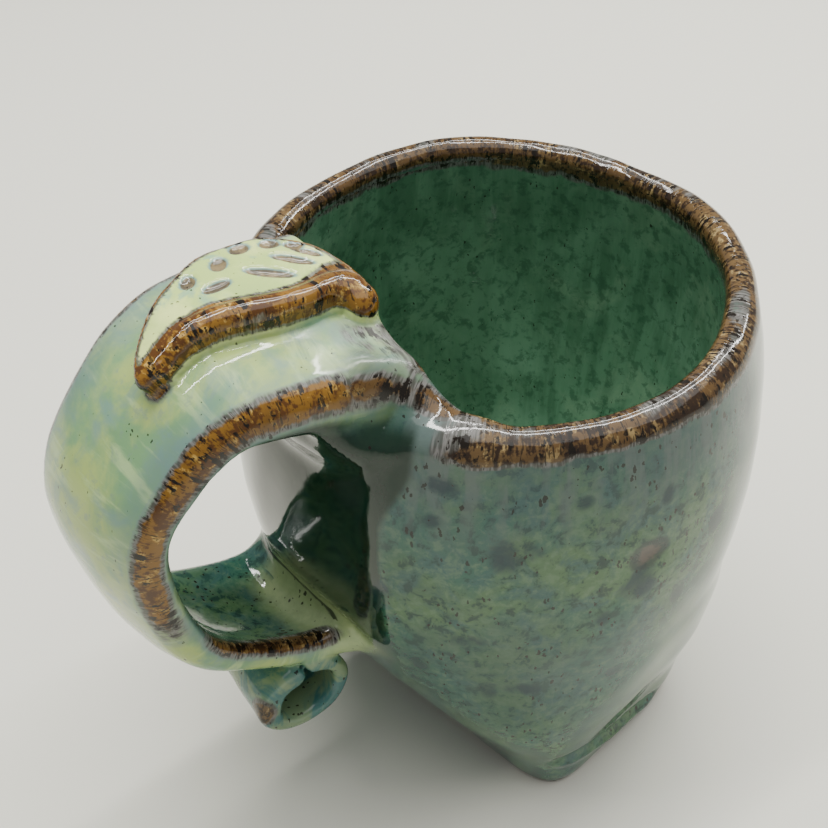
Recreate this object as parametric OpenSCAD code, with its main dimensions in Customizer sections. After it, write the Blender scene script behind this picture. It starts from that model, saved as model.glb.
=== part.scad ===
// Hand-built ceramic mug: a round rim over a small squared foot, a wide strap handle
// that is folded over the rim, a leaf thumb rest on the strap and a curled tail below it.
// Units are mm. +Z is up. The origin is on the table, under the centre of the rim.
// The handle points along -X and its middle plane is the XZ plane.

/* [Cup] */
// Height of the rim above the table
rim_height = 99; // [80:0.1:120]
// Outer radius of the rim
rim_radius = 45; // [36:0.1:52]
// Outer radius of the belly at its widest
belly_radius = 48.2; // [40:0.1:56]
// Half width of the foot, along the handle's direction
foot_half_width = 22.2; // [16:0.1:36]
// Half depth of the foot, across the handle's direction
foot_half_depth = 31.6; // [20:0.1:42]
// How square the foot is: 2 is an ellipse, 8 is nearly a rectangle
foot_squareness = 6.4; // [2:0.1:8]
// Turn of the foot against the handle
foot_turn = 10.8; // [0:0.1:45]
// How far the foot sits to the front of the rim
foot_shift = 7.8; // [0:0.1:12]
// Thickness of the clay wall at the lip
wall = 5.8; // [4:0.1:8]
// How much thicker the wall gets towards the floor
wall_gain = 1.2; // [0:0.1:3]
// Height of the inside floor above the table
floor_height = 7.5; // [5:0.1:12]
// Height of the bare clay foot
foot_height = 1.6; // [0.8:0.1:4]

/* [Handle] */
// Furthest reach of the strap from the rim's centre line
handle_reach = 83.2; // [65:0.1:95]
// Height of the strap's top above the table
handle_top = 111.6; // [98:0.1:125]
// Height of the strap's underside where it meets the cup
handle_low = 35.3; // [22:0.1:50]
// Thickness of the strap
strap_thick = 6.5; // [4:0.1:9]
// Width of the strap at its top
strap_top_width = 36; // [24:0.5:44]
// Width of the strap at its narrowest, below the bend
strap_mid_width = 27.5; // [18:0.5:36]
// Width of the strap at its lower end
strap_low_width = 32.5; // [20:0.5:42]
// How far the strap's front edge rolls down
front_roll = 4.6; // [0:0.1:7]

/* [Leaf thumb rest] */
// Height of the leaf's thick front edge above the strap
leaf_height = 5.4; // [3:0.1:9]
// Height of the leaf's thin back edge above the strap
leaf_back = 2.2; // [1:0.1:5]

/* [Curled tail] */
// Outer radius of the curl
curl_radius = 9; // [6:0.1:12]
// Thickness of the curled clay
curl_thick = 3.2; // [2:0.1:5]
// Width of the curl over its height
curl_wide = 1.13; // [0.9:0.01:1.3]
// Length of the curl from front to back
curl_length = 25; // [14:0.5:32]

/* [Joins] */
// Radius of the clay coil pressed in under the top of the strap
upper_coil = 5.6; // [3:0.1:10]
// Radius of the clay coil pressed in over the strap's lower end
lower_coil = 4.6; // [3:0.1:8]

/* [Hidden] */
around = 72;
eps = 0.01;
lip = wall / 2;

// Smooth curve through stations [position, value]; a firm one never overshoots them
function seg(st, t, i = 0) =
    (i >= len(st) - 2 || t <= st[i + 1][0]) ? i : seg(st, t, i + 1);
function rise(st, i) = (st[i + 1][1] - st[i][1]) / (st[i + 1][0] - st[i][0]);
function slope(st, i, firm) =
    let(a = rise(st, max(i - 1, 0)), b = rise(st, min(i, len(st) - 2)))
    let(l = max(i - 1, 0), r = min(i + 1, len(st) - 1))
    !firm ? (st[r][1] - st[l][1]) / (st[r][0] - st[l][0])
    : a * b <= 0 ? 0 : 2 * a * b / (a + b);
function smooth(st, t, firm = false) =
    let(i = seg(st, t), w = st[i + 1][0] - st[i][0])
    let(u = (min(max(t, st[0][0]), st[len(st) - 1][0]) - st[i][0]) / w)
    let(u2 = u * u, u3 = u2 * u)
    (2 * u3 - 3 * u2 + 1) * st[i][1] + (u3 - 2 * u2 + u) * w * slope(st, i, firm)
    + (3 * u2 - 2 * u3) * st[i + 1][1] + (u3 - u2) * w * slope(st, i + 1, firm);

// Outside of the cup by height share h: half width, half depth, squareness and lean
width_at = [
    [0, foot_half_width],
    [0.04, foot_half_width + 1.7],
    [0.12, foot_half_width + 5.5],
    [0.25, belly_radius - 12.4],
    [0.42, belly_radius - 4.4],
    [0.62, belly_radius],
    [0.82, belly_radius + 0.8],
    [1, rim_radius + 1.1]
];
depth_at = [
    [0, foot_half_depth],
    [0.04, foot_half_depth + 1.6],
    [0.12, foot_half_depth + 4.2],
    [0.25, belly_radius - 7],
    [0.42, belly_radius - 2.2],
    [0.62, belly_radius],
    [0.82, belly_radius - 1],
    [1, rim_radius - 1.1]
];
square_at = [
    [0, foot_squareness],
    [0.12, 0.66 * foot_squareness + 0.7],
    [0.25, 0.33 * foot_squareness + 1.35],
    [0.45, 2.3],
    [0.7, 2.08],
    [1, 2]
];
shift_at = [
    [0, foot_shift],
    [0.12, 0.7 * foot_shift],
    [0.25, 0.43 * foot_shift],
    [0.45, 0.15 * foot_shift],
    [1, 0]
];

function cup_r(h, a, inset = 0) =
    let(n = smooth(square_at, h, true))
    pow(pow(abs(cos(a - foot_turn)) / (smooth(width_at, h) - inset), n)
        + pow(abs(sin(a - foot_turn)) / (smooth(depth_at, h) - inset), n), -1 / n)
    + 0.4 * h * h * cos(5 * a + 40);
function cup_x(h) = 0.12 * (smooth(shift_at, h, true) - 1.2 * foot_shift * h * (1 - h));
function cup_y(h) = -smooth(shift_at, h, true);
function cup_ring(z, inset) =
    let(h = z / rim_height)
    [for (i = [0 : around - 1])
        let(a = 360 * i / around, r = cup_r(h, a, inset))
        [cup_x(h) + r * cos(a), cup_y(h) + r * sin(a), z]];
function wall_at(z) =
    let(low = max(0, 1 - (z - floor_height) / 8))
    wall + wall_gain * (1 - z / rim_height) + 5 * (1 - sqrt(1 - low * low));

// A closed skin over rings of points: capped ends, or joined end to end when looped
module skin(rings, looped = false) {
    n = len(rings[0]);
    m = len(rings);
    sides = [for (j = [0 : (looped ? m - 1 : m - 2)])
        for (i = [0 : n - 1])
            let(k = (j + 1) % m, q = (i + 1) % n)
            [j * n + i, k * n + i, k * n + q, j * n + q]];
    halves = [for (f = sides) each [[f[0], f[1], f[2]], [f[0], f[2], f[3]]]];
    caps = looped ? [] : [
        [for (i = [0 : n - 1]) i],
        [for (i = [n - 1 : -1 : 0]) (m - 1) * n + i]
    ];
    polyhedron(points = [for (r = rings) each r], faces = concat(halves, caps));
}

outer_steps = 22;
outer_rings = [for (k = [0 : outer_steps])
    let(z = floor_height + (rim_height - lip - floor_height) * k / outer_steps)
    cup_ring(z, 0)];
lip_rings = [for (t = [30 : 30 : 150])
    cup_ring(rim_height - lip + lip * sin(t), lip * (1 - cos(t)))];
inner_steps = 17;
inner_rings = [for (k = [0 : inner_steps])
    let(u = 1 - k / inner_steps)
    let(z = floor_height + (rim_height - lip - floor_height) * pow(u, 1.35))
    cup_ring(z, wall_at(max(z, floor_height + eps)))];

module cup_wall_shape() {
    skin([for (r = outer_rings) r, for (r = lip_rings) r, for (r = inner_rings) r], true);
}

// Everything the outside of the cup holds up to a height, for trimming parts against
module cup_bulk() {
    skin([for (r = outer_rings) r, for (t = [30 : 30 : 90])
        cup_ring(rim_height - lip + lip * sin(t), lip * (1 - cos(t)))]);
}

module cup_wall() {
    color([0.36, 0.52, 0.44]) cup_wall_shape();
}

module floor_slab() {
    color([0.34, 0.5, 0.43])
        skin([for (k = [0 : 5])
            cup_ring(foot_height + (floor_height - foot_height) * k / 5, 0)]);
}

module foot() {
    color([0.22, 0.17, 0.13])
        linear_extrude(height = foot_height)
            polygon([for (p = cup_ring(0, 0.6)) [p[0], p[1]]]);
}

// Outer middle line of the strap, seen from the side: reach and height by length share
reach_line = [
    [-0.06, 0.24 * handle_reach],
    [0, 0.345 * handle_reach],
    [0.143, 0.721 * handle_reach],
    [0.286, 0.923 * handle_reach],
    [0.41, handle_reach],
    [0.571, 0.964 * handle_reach],
    [0.714, 0.869 * handle_reach],
    [0.857, 0.685 * handle_reach],
    [1, 0.52 * handle_reach],
    [1.1, 0.41 * handle_reach]
];
handle_span = handle_top - handle_low;
height_line = [
    [-0.06, handle_top - 0.075 * handle_span],
    [0, handle_top - 0.036 * handle_span],
    [0.143, handle_top - 0.01 * handle_span],
    [0.286, handle_top - 0.181 * handle_span],
    [0.429, handle_top - 0.402 * handle_span],
    [0.571, handle_top - 0.657 * handle_span],
    [0.714, handle_top - 0.844 * handle_span],
    [0.857, handle_top - 0.959 * handle_span],
    [1, handle_low + 0.004 * handle_span],
    [1.1, handle_low - 0.004 * handle_span]
];
width_line = [
    [-0.06, strap_top_width + 11],
    [0, strap_top_width + 6],
    [0.08, strap_top_width],
    [0.33, strap_mid_width + 1.9],
    [0.66, strap_mid_width],
    [1, strap_low_width],
    [1.1, strap_low_width + 2]
];
thick_line = [
    [-0.06, strap_thick + 4.5],
    [0, strap_thick + 4],
    [0.2, strap_thick],
    [1.1, strap_thick]
];
function spine(s) = [smooth(reach_line, s), smooth(height_line, s)];
function out_dir(s) =
    let(d = spine(s + 0.004) - spine(s - 0.004))
    [-d[1], d[0]] / norm(d);
// A point of the strap: v is across towards the front, lift is out from the outer face
function on_strap(s, v, lift) =
    let(c = spine(s), n = out_dir(s), t = 2 * v / smooth(width_line, s, true))
    let(drop = (front_roll + 0.4) / 2 * t * t + (front_roll - 0.4) / 2 * t)
    let(q = c + n * (lift - drop))
    [-q[0], -v, q[1]];

// Soft rectangle, half sizes a and b
function soft(a, b, n) = [for (i = [0 : n - 1])
    let(t = 360 * i / n, c = cos(t), s = sin(t))
    [a * sign(c) * pow(abs(c), 0.32), b * sign(s) * pow(abs(s), 0.5)]];
function strap_ring(s, k = 1) =
    let(th = smooth(thick_line, s, true), w = smooth(width_line, s, true) / 2)
    [for (p = soft(w, th / 2, 24)) on_strap(s, p[0] * k, -th / 2 + p[1] * k)];

module strap_shape() {
    skin([
        for (k = [0 : 4])
            let(t = 1 - k / 5)
            strap_ring(0.012 - 0.03 * t, sqrt(1 - 0.8 * t * t)),
        for (k = [0 : 38]) strap_ring(0.016 + 1.05 * k / 38)
    ]);
}

module handle_strap() {
    color([0.55, 0.63, 0.46])
        difference() {
            strap_shape();
            cup_wall_shape();
            cup_low_core();
        }
}

// Inside of the cup below the strap's folded end, so that no trimmed scrap stays there
module cup_low_core() {
    skin([for (k = [0 : 4]) cup_ring(floor_height + 14 + 16 * k, 1)]);
}

// Leaf outline by length share from the tip (0) to the stem (1), across the strap
leaf_front = [
    [0, 6.4], [0.1, 5], [0.25, 5.4], [0.45, 6.4], [0.7, 7.4], [0.84, 9], [0.92, 12.6], [1, 13]
];
leaf_rear = [
    [0, 4.6], [0.1, -3.4], [0.22, -7.5], [0.34, -10.4], [0.5, -13.8],
    [0.7, -14.2], [0.86, -13.8], [1, -8]
];
leaf_rise = [[0, 0.5], [0.15, 0.9], [0.5, 1], [0.85, 1.05], [1, 0.85]];
function leaf_ring(t, k = 1) =
    let(s = 0.195 * (1 - t) + 0.002, hf = leaf_height * smooth(leaf_rise, t) * k)
    let(hb = leaf_back * smooth(leaf_rise, t) * k)
    let(f = smooth(leaf_front, t), b = smooth(leaf_rear, t), w = f - b)
    [
        on_strap(s, f, -1.6), on_strap(s, f + 0.3, 0.4 * hf),
        on_strap(s, f - 0.1, 0.8 * hf), on_strap(s, f - 0.12 * w, hf),
        on_strap(s, f - 0.22 * w, 0.94 * hf),
        on_strap(s, f - 0.36 * w, 0.5 * hf + 0.5 * hb),
        on_strap(s, f - 0.55 * w, 0.3 * hf + 0.7 * hb),
        on_strap(s, f - 0.75 * w, 0.1 * hf + 0.9 * hb), on_strap(s, b + 0.08 * w, hb),
        on_strap(s, b, 0.5 * hb), on_strap(s, b + 0.04 * w, -1.6)
    ];
module leaf_rest() {
    color([0.66, 0.7, 0.48])
        difference() {
            skin([for (k = [0 : 22]) leaf_ring(k / 22, k == 0 || k == 22 ? 0.7 : 1)]);
            strap_shape();
            cup_wall_shape();
        }
}

// Curled tail: a band that leaves the strap's underside by the cup and rolls outwards
curl_x = -0.631 * handle_reach - 1.2;
curl_z = handle_low - 2.3;
function curl_ring(t) =
    let(a = 70 - 300 * t, r = curl_radius - 1.5 * t - curl_thick / 2)
    let(front = -0.62 * curl_length + 1.5 * t, back = front + curl_length * (1 - 0.2 * t))
    [for (p = soft((back - front) / 2, curl_thick / 2, 16))
        [curl_x + curl_wide * (r + p[1]) * cos(a), (front + back) / 2 + p[0],
         curl_z + (r + p[1]) * sin(a)]];
module tail_curl() {
    color([0.36, 0.46, 0.42])
        difference() {
            skin([for (k = [0 : 30]) curl_ring(k / 30)]);
            strap_shape();
            cup_wall_shape();
            cup_low_core();
            lower_coil_shape();
        }
}

// Coil of clay along the outside of the cup, between two directions
function coil_ring(a, z, r) =
    let(h = z / rim_height, c = cup_r(h, a) - 0.35 * r)
    [for (i = [0 : 11])
        let(t = 30 * i, d = c + r * cos(t), up = z + r * sin(t))
        [cup_x(h) + d * cos(a), cup_y(h) + d * sin(a), up]];
function fade(t) = sqrt(max(0.08, 1 - pow(abs(t), 3)));

module upper_join() {
    color([0.42, 0.52, 0.42])
        difference() {
            skin([for (k = [0 : 20])
                let(t = k / 10 - 1)
                coil_ring(180 + 29 * t, rim_height - 3.6, upper_coil * fade(t))]);
            strap_shape();
            cup_bulk();
        }
}

module lower_coil_shape() {
    skin([for (k = [0 : 20])
        let(t = k / 10 - 1)
        coil_ring(180 + 22 * t, handle_low + 8 + 2 * t, lower_coil * fade(t))]);
}

module lower_join() {
    color([0.42, 0.52, 0.42])
        difference() {
            lower_coil_shape();
            strap_shape();
            cup_bulk();
        }
}

cup_wall();
floor_slab();
foot();
handle_strap();
leaf_rest();
tail_curl();
upper_join();
lower_join();
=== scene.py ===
import math

import bpy
import numpy as np
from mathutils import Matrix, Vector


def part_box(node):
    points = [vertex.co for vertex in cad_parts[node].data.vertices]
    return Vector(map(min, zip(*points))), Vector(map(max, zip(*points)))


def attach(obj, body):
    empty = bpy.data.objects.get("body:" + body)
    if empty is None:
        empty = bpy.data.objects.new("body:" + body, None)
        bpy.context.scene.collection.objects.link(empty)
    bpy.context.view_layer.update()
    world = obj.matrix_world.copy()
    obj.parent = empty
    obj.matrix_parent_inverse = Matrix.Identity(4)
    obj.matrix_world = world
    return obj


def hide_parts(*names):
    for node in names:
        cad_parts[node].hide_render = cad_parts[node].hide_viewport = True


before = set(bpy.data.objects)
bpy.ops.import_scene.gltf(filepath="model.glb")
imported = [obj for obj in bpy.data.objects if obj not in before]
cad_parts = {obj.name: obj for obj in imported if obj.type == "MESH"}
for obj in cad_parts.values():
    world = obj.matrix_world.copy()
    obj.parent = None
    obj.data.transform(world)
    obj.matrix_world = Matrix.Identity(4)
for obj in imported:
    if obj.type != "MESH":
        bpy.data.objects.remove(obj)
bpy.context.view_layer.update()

import openvdb
from mathutils import Matrix, Vector

# The clay is worked out as one distance field on a fine grid, in millimetres, so that the
# pieces flow into each other as pressed clay does. The surface is then cut along the joins
# into closed pieces, one for each CAD node.

MM = 0.001
VOXEL = 0.62


def box_mm(node):
    lo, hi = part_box(node)
    return np.array(lo) / MM, np.array(hi) / MM


# ---------------------------------------------------------------- sizes, from the frame

strap_lo, strap_hi = box_mm("handle_strap")

RIM_Z = box_mm("cup_wall")[1][2]
FLOOR_Z = box_mm("floor_slab")[1][2]
FOOT_Z = box_mm("foot")[1][2]
STRAP_OVER_X = 0.35  # how far the strap's box stands past its own curve
STRAP_OVER_Z = 0.1
REACH = -strap_lo[0] - STRAP_OVER_X
TOP = strap_hi[2] - STRAP_OVER_Z
LOW = strap_lo[2] + STRAP_OVER_Z
CURL_REACH = 0.631  # the curl's centre, as a share of the strap's reach
CURL_OUT = 1.2
CURL_DROP = 2.3
CURL_X = -CURL_REACH * REACH - CURL_OUT
CURL_Z = LOW - CURL_DROP

BELLY_R = 48.2
RIM_R = 45.0
FOOT_HALF_WIDTH = 22.2
FOOT_HALF_DEPTH = 31.6
FOOT_SQUARENESS = 6.4
FOOT_TURN = math.radians(10.8)
FOOT_SHIFT = 7.8
WALL = 5.8
WALL_GAIN = 1.2
LIP = WALL / 2
STRAP_THICK = 6.5
STRAP_TOP_WIDTH = 36.0
STRAP_MID_WIDTH = 27.5
STRAP_LOW_WIDTH = 32.5
FRONT_ROLL = 4.6
LEAF_HEIGHT = 5.4
LEAF_BACK = 3.5
CURL_R = 9.0
CURL_WIDE = 1.13
CURL_THICK = 2.9
CURL_LENGTH = 25.0
CURL_START = 70  # where the rolled band begins and how far it turns, in degrees
CURL_SWEEP = 330
CURL_PULL = 1.6
CURL_END_GAIN = 1.0
UPPER_COIL = 5.6
LOWER_COIL = 4.6
RIM_RISE = 1.5
RIM_FLARE = 1.1
FLOOR_FILLET = 9
FOOT_ROUND = 2.2
WALL_R = 46  # mean radius of the wall, which turns degrees into millimetres

# The groove pressed round the near corner above the foot, and the pit in the near wall
GROOVE_Z = 8.6
GROOVE_SLOPE = 0.17
GROOVE_DEPTH = 0.75
GROOVE_WIDTH = 1.0
LUMP_HEIGHT = 0.55
LUMP_BELOW = 2.6
LUMP_WIDTH = 1.5
PIT_TURN = -96
PIT_Z = 72
PIT_DEPTH = 0.5


# ---------------------------------------------------------------- curves and small maths

def curve(stations, at, firm=False):
    """A smooth curve through stations of position and value; a firm one never overshoots."""
    xs, ys = np.array(stations, float).T
    d = np.diff(ys) / np.diff(xs)
    if firm:
        a, b = np.append(d[:1], d), np.append(d, d[-1:])
        m = np.where(a * b <= 0, 0, 2 * a * b / np.where(a + b == 0, 1, a + b))
    else:
        l = np.maximum(np.arange(len(xs)) - 1, 0)
        r = np.minimum(np.arange(len(xs)) + 1, len(xs) - 1)
        m = (ys[r] - ys[l]) / (xs[r] - xs[l])
    t = np.clip(at, xs[0], xs[-1])
    i = np.clip(np.searchsorted(xs, t) - 1, 0, len(xs) - 2)
    w = xs[i + 1] - xs[i]
    u = (t - xs[i]) / w
    u2, u3 = u * u, u * u * u
    return ((2 * u3 - 3 * u2 + 1) * ys[i] + (u3 - 2 * u2 + u) * w * m[i]
            + (3 * u2 - 2 * u3) * ys[i + 1] + (u3 - u2) * w * m[i + 1])


def melt(a, b, k):
    """Union of two fields with a fillet about k wide."""
    h = np.maximum(k - np.abs(a - b), 0) / k
    return np.minimum(a, b) - h * h * k / 4


def carve(a, b, k):
    """Intersection of two fields with a rounded edge about k wide."""
    return -melt(-a, -b, k)


def step(lo, hi, x):
    t = np.clip((x - lo) / (hi - lo), 0, 1)
    return t * t * (3 - 2 * t)


def waves(x, y, z, size, seed):
    """Slow, even unevenness of hand-worked clay, about -1 to 1."""
    r = np.random.default_rng(seed)
    total = 0
    for _ in range(6):
        k = r.normal(size=3)
        k *= 2 * math.pi / size / np.linalg.norm(k) * r.uniform(0.7, 1.4)
        total = total + np.sin(k[0] * x + k[1] * y + k[2] * z + r.uniform(0, 6.28))
    return (total / 3).astype(np.float32)


# ---------------------------------------------------------------- the cup

WIDTH_AT = [(0, FOOT_HALF_WIDTH), (0.04, FOOT_HALF_WIDTH + 1.7), (0.12, FOOT_HALF_WIDTH + 5.5),
            (0.25, BELLY_R - 12.4), (0.42, BELLY_R - 4.4), (0.62, BELLY_R),
            (0.82, BELLY_R + 0.8), (1, RIM_R + 1.1)]
DEPTH_AT = [(0, FOOT_HALF_DEPTH), (0.04, FOOT_HALF_DEPTH + 1.6), (0.12, FOOT_HALF_DEPTH + 4.2),
            (0.25, BELLY_R - 7), (0.42, BELLY_R - 2.2), (0.62, BELLY_R),
            (0.82, BELLY_R - 1), (1, RIM_R - 1.1)]
SQUARE_AT = [(0, FOOT_SQUARENESS), (0.12, 0.66 * FOOT_SQUARENESS + 0.7),
             (0.25, 0.33 * FOOT_SQUARENESS + 1.35), (0.45, 2.3), (0.7, 2.08), (1, 2)]
SHIFT_AT = [(0, FOOT_SHIFT), (0.12, 0.7 * FOOT_SHIFT), (0.25, 0.43 * FOOT_SHIFT),
            (0.45, 0.15 * FOOT_SHIFT), (1, 0)]


def cup_centre(h):
    shift = curve(SHIFT_AT, h, True)
    return 0.12 * (shift - 1.2 * FOOT_SHIFT * h * (1 - h)), -shift


def rim_rise(a):
    """Height of the lip over its mean level: the far side stands up a little."""
    back = step(-0.25, 0.9, np.sin(a - math.radians(12)))
    return RIM_RISE * back + 0.12 * np.cos(3 * a + 0.6) + 0.15 * np.cos(5 * a)


def cup_radius(h, a, inset=0.0):
    n = curve(SQUARE_AT, h, True)
    u = np.abs(np.cos(a - FOOT_TURN)) / (curve(WIDTH_AT, h) - inset)
    v = np.abs(np.sin(a - FOOT_TURN)) / (curve(DEPTH_AT, h) - inset)
    flare = RIM_FLARE * step(0.86, 1, h) * step(0.1, 0.9, np.sin(a - math.radians(8)))
    wobble = 0.4 * h * h * np.cos(5 * a + math.radians(40))
    return (u ** n + v ** n) ** (-1 / n) + wobble + flare


def cup_fields(x, y, z):
    """Distance to the cup's outside, distance to its hollow, and the wall with its lip."""
    h = np.clip(z / RIM_Z, 0, 1)
    cx, cy = cup_centre(h)
    px, py = x - cx, y - cy
    rho, a = np.hypot(px, py), np.arctan2(py, px)
    slope = np.gradient(curve(WIDTH_AT, np.clip(np.linspace(-0.01, 1.01, 103), 0, 1)),
                        0.01 * RIM_Z)
    tilt = 1 / np.sqrt(1 + np.interp(h, np.linspace(-0.01, 1.01, 103), slope) ** 2)
    wall = WALL + WALL_GAIN * (1 - h)
    outer = (rho - cup_radius(h, a)) * tilt
    inner = (rho - cup_radius(h, a, wall)) * tilt
    hollow = carve(inner, FLOOR_Z - z, FLOOR_FILLET)
    lip_z = RIM_Z - LIP + rim_rise(a)
    lip = np.hypot(rho - (cup_radius(h, a) - wall / 2), np.maximum(z - lip_z, 0)) - wall / 2
    solid = np.where(z > lip_z, lip, carve(outer, -hollow, 0.5))
    deg = np.degrees(a)
    groove_z = GROOVE_Z - GROOVE_SLOPE * (deg + 90) + 0.5 * np.sin(np.radians(deg) * 9)
    groove = GROOVE_DEPTH * np.exp(-((z - groove_z) / GROOVE_WIDTH) ** 2)
    lump = LUMP_HEIGHT * np.exp(-((z - groove_z + LUMP_BELOW) / LUMP_WIDTH) ** 2)
    solid = solid + (groove - lump) * step(-116, -106, deg) * step(-52, -66, deg)
    pit = np.hypot(np.radians(deg - PIT_TURN) * WALL_R / 4.0, (z - PIT_Z) / 3.2)
    solid = solid + PIT_DEPTH * np.exp(-pit * pit) * (outer > -3)
    solid = carve(solid, -z, FOOT_ROUND)
    return outer, hollow, solid, a, rho


# ---------------------------------------------------------------- the strap

SPAN = TOP - LOW
REACH_LINE = [(-0.06, 0.24), (0, 0.345), (0.143, 0.721), (0.286, 0.923), (0.41, 1),
              (0.571, 0.964), (0.714, 0.869), (0.857, 0.685), (1, 0.52), (1.1, 0.41)]
FALL_LINE = [(-0.06, 0.075), (0, 0.036), (0.143, 0.01), (0.286, 0.181), (0.429, 0.402),
             (0.571, 0.657), (0.714, 0.844), (0.857, 0.959), (1, 0.996), (1.1, 1.004)]
HALF_WIDTH_LINE = [(-0.06, STRAP_TOP_WIDTH / 2 + 5), (0, STRAP_TOP_WIDTH / 2 + 2.6),
                   (0.08, STRAP_TOP_WIDTH / 2), (0.33, STRAP_MID_WIDTH / 2 + 0.9),
                   (0.66, STRAP_MID_WIDTH / 2), (1, STRAP_LOW_WIDTH / 2),
                   (1.1, STRAP_LOW_WIDTH / 2 + 1)]
THICK_LINE = [(-0.06, STRAP_THICK + 4.5), (0, STRAP_THICK + 4), (0.2, STRAP_THICK),
              (1.1, STRAP_THICK)]
S_START = 0.019
S_END = 1.06
STRAP_ROUND = 2.9
RIDGE_HEIGHT = 0.6
RIDGE_AT = 7.6
RIDGE_WIDTH = 2.8
spine_s = np.linspace(S_START, S_END, 900)


def spine(s):
    return np.stack([curve(REACH_LINE, s) * REACH, TOP - curve(FALL_LINE, s) * SPAN], -1)


spine_uz = spine(spine_s)
spine_t = np.gradient(spine_uz, axis=0)
spine_t /= np.linalg.norm(spine_t, axis=1)[:, None]
spine_n = np.stack([-spine_t[:, 1], spine_t[:, 0]], -1)
START_LEN = 5.5
spine_len = START_LEN + np.append(
    0, np.cumsum(np.linalg.norm(np.diff(spine_uz, axis=0), axis=1)))


def near_spine(x, z):
    """For points of the side view: length share, height over the outer face, and overshoot."""
    u = -x.ravel()
    w = z.ravel()
    s = np.empty(u.size)
    e = np.empty(u.size)
    o = np.empty(u.size)
    for i in range(0, u.size, 20000):
        du = u[i:i + 20000, None] - spine_uz[None, :, 0]
        dz = w[i:i + 20000, None] - spine_uz[None, :, 1]
        k = np.argmin(du * du + dz * dz, 1)
        j = np.arange(len(k))
        a, b = du[j, k], dz[j, k]
        along = a * spine_t[k, 0] + b * spine_t[k, 1]
        across = a * spine_n[k, 0] + b * spine_n[k, 1]
        first, last = k == 0, k == len(spine_s) - 1
        ds = along * (spine_s[1] - spine_s[0]) / (spine_len[1] - spine_len[0])
        s[i:i + 20000] = spine_s[k] + np.where(first | last, 0, ds)
        e[i:i + 20000] = np.where(first | last, across,
                                  np.copysign(np.hypot(a, b), across))
        o[i:i + 20000] = np.where(first, -along, np.where(last, along, 0))
    return s.reshape(x.shape), e.reshape(x.shape), np.maximum(o, 0).reshape(x.shape)


def strap_drop(v, half, s):
    """How far the strap's face falls away towards its edges, with a soft ridge in front."""
    t = np.clip(v / half, -1.25, 1.25)
    fall = (FRONT_ROLL + 0.4) / 2 * t * t + (FRONT_ROLL - 0.4) / 2 * t
    ridge = RIDGE_HEIGHT * np.exp(-((v - RIDGE_AT) / RIDGE_WIDTH) ** 2)
    return fall - ridge * step(0.30, 0.17, s) * step(0.02, 0.05, s)


def strap_field(s, e, o, v):
    """Distance to the strap; v runs across it towards the front."""
    half = curve(HALF_WIDTH_LINE, s, True)
    thick = curve(THICK_LINE, s, True)
    lift = e + strap_drop(v, half, s)
    r = STRAP_ROUND
    a = np.abs(lift + thick / 2) - thick / 2 + r
    b = np.abs(v) - half + r
    c = o + 0 * v
    out = np.sqrt(np.maximum(a, 0) ** 2 + np.maximum(b, 0) ** 2 + c ** 2)
    return np.where(c > 0, out, out + np.minimum(np.maximum(a, b), 0)) - r, lift


# ---------------------------------------------------------------- the leaf

# Seen on the strap's face: millimetres along it from the cup, and across it to the front
BEAD_LINE = [(38.6, 4.5), (36.4, 3.7), (33.5, 2.9), (30, 2.9), (25.5, 3.8), (20.5, 4.7),
             (15, 4.7), (10.8, 3.8), (8.2, 3.9), (6.6, 5.0), (6.0, 6.4)]
LEAF_TIP = [(42.4, 3.9), (41.6, 5.0)]
LEAF_REAR = [(42.2, 3.2), (40.6, 0.4), (38.4, -2.4), (36.1, -4.9), (33.3, -7.6), (30.5, -9.7),
             (27.3, -11.9), (23.6, -13.6), (19, -14.3), (14.5, -14), (10.6, -12.2),
             (7.6, -9.2), (5.6, -5), (4.6, -0.5), (4.4, 3.5)]


def smooth_line(points, count=80):
    at = np.linspace(0, 1, len(points))
    t = np.linspace(0, 1, count)
    xs, ys = zip(*points)
    return np.stack([curve(list(zip(at, xs)), t), curve(list(zip(at, ys)), t)], -1)


bead_curve = smooth_line(BEAD_LINE)
leaf_outline = np.concatenate([bead_curve, smooth_line(LEAF_REAR)[::-1], LEAF_TIP])


def line_distance(px, py, line):
    """Distance from points to an open line of points, and the share of it that is nearest."""
    best = np.full(px.shape, 1e9)
    where = np.zeros(px.shape)
    for k in range(len(line) - 1):
        a, b = line[k], line[k + 1]
        d = b - a
        t = np.clip(((px - a[0]) * d[0] + (py - a[1]) * d[1]) / (d @ d + 1e-9), 0, 1)
        q = np.hypot(px - a[0] - t * d[0], py - a[1] - t * d[1])
        where = np.where(q < best, (k + t) / (len(line) - 1), where)
        best = np.minimum(best, q)
    return best, where


def inside(px, py, poly):
    hit = np.zeros(px.shape, bool)
    for a, b in zip(poly, np.roll(poly, -1, 0)):
        if a[1] == b[1]:
            continue
        c = ((a[1] > py) != (b[1] > py)) & (
            px < (b[0] - a[0]) * (py - a[1]) / (b[1] - a[1]) + a[0])
        hit ^= c
    return hit


# Ovals pressed into the leaf: place along the strap and across it, half length, half width,
# and turn, in millimetres and degrees
PRESSES = [(28.4, -7.0, 1.7, 1.1, 60), (25.6, -3.2, 2.3, 1.1, 8), (22.6, -8.8, 2.0, 1.25, 58),
           (17.8, -11.4, 1.8, 1.45, 30), (13.0, -10.4, 1.7, 1.4, 0), (9.8, -8.3, 1.6, 1.0, -20),
           (17.2, -2.6, 3.9, 1.05, -38), (12.2, -4.4, 3.5, 0.95, -42), (9.0, -5.6, 2.6, 0.8, -48)]


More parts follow.
